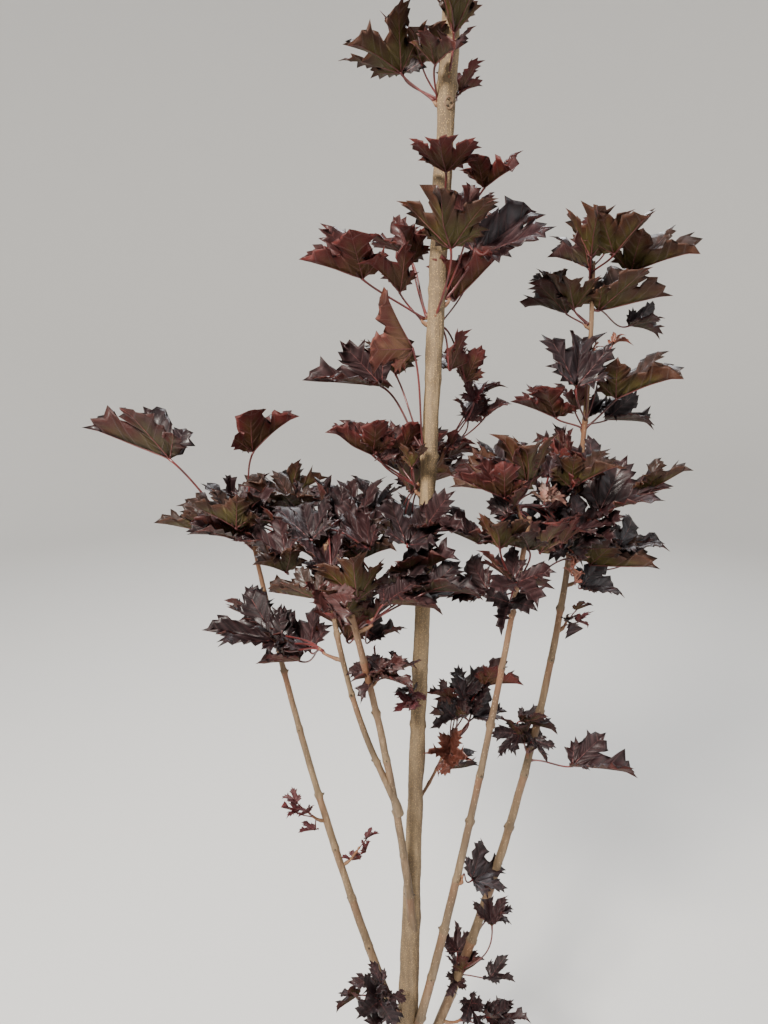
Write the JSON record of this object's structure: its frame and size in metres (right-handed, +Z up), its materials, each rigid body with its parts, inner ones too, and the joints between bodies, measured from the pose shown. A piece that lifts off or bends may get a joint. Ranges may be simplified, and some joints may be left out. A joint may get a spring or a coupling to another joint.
{
  "type": "purple-leaved maple sapling",
  "caption": "Young purple-leaved maple rooted in the ground: a slender upright trunk, steep low boughs beside it, and loose sprays of large pointed lobed leaves up to its leader's tip.",
  "frame": {"origin": "centre of the flat cut under the trunk, at ground level", "axes": "+Z up along the trunk; -Y is the side that the picture shows; +X is to the right as seen from there"},
  "size_m": [0.9199, 0.5139, 2.7714],
  "materials": {
    "bark": "smooth tan grey bark with a fine pale speckle and faint upright streaks",
    "young_bark": "smooth brown bark of young wood, flushed orange and red towards the shoots",
    "leaf": "glossy blackish purple above, matt olive bronze to dark red below"
  },
  "bodies": {
    "root": {"trunk": "bark", "bough_back": "young_bark", "bough_front": "young_bark", "bough_front_fork": "young_bark", "bough_left": "young_bark", "bough_right": "young_bark", "bough_tall": "young_bark", "foliage_back_crown": "leaf", "foliage_between": "leaf", "foliage_collar_front": "leaf", "foliage_collar_left": "leaf", "foliage_collar_right": "leaf", "foliage_foot_back": "leaf", "foliage_foot_left": "leaf", "foliage_foot_right": "leaf", "foliage_front_bud": "leaf", "foliage_front_centre": "leaf", "foliage_front_crown": "leaf", "foliage_front_low": "leaf", "foliage_front_tuft": "leaf", "foliage_front_under": "leaf", "foliage_inner_sprig": "leaf", "foliage_leader_front": "leaf", "foliage_leader_pair_1": "leaf", "foliage_leader_pair_2": "leaf", "foliage_leader_pair_3": "leaf", "foliage_leader_pair_4": "leaf", "foliage_leader_pair_5": "leaf", "foliage_leader_tip": "leaf", "foliage_left_crown": "leaf", "foliage_left_low": "leaf", "foliage_left_sprig": "leaf", "foliage_left_tip": "leaf", "foliage_left_upright": "leaf", "foliage_low_left": "leaf", "foliage_low_right": "leaf", "foliage_low_spur": "leaf", "foliage_mid_left": "leaf", "foliage_pale_leaf": "leaf", "foliage_right_back": "leaf", "foliage_right_bud": "leaf", "foliage_right_crown": "leaf", "foliage_right_low": "leaf", "foliage_right_low_mid": "leaf", "foliage_right_low_tip": "leaf", "foliage_right_mid": "leaf", "foliage_right_tip": "leaf", "foliage_spur_right": "leaf", "foliage_spur_tip": "leaf", "foliage_tall_base": "leaf", "foliage_tall_left": "leaf", "foliage_tall_lower": "leaf", "foliage_tall_mid": "leaf", "foliage_tall_olive": "leaf", "foliage_tall_tip": "leaf", "foliage_tall_top": "leaf", "foliage_upper_back": "leaf", "foliage_upper_front": "leaf", "foliage_upper_left": "leaf", "foliage_upper_right": "leaf"}
  },
  "joints": []
}
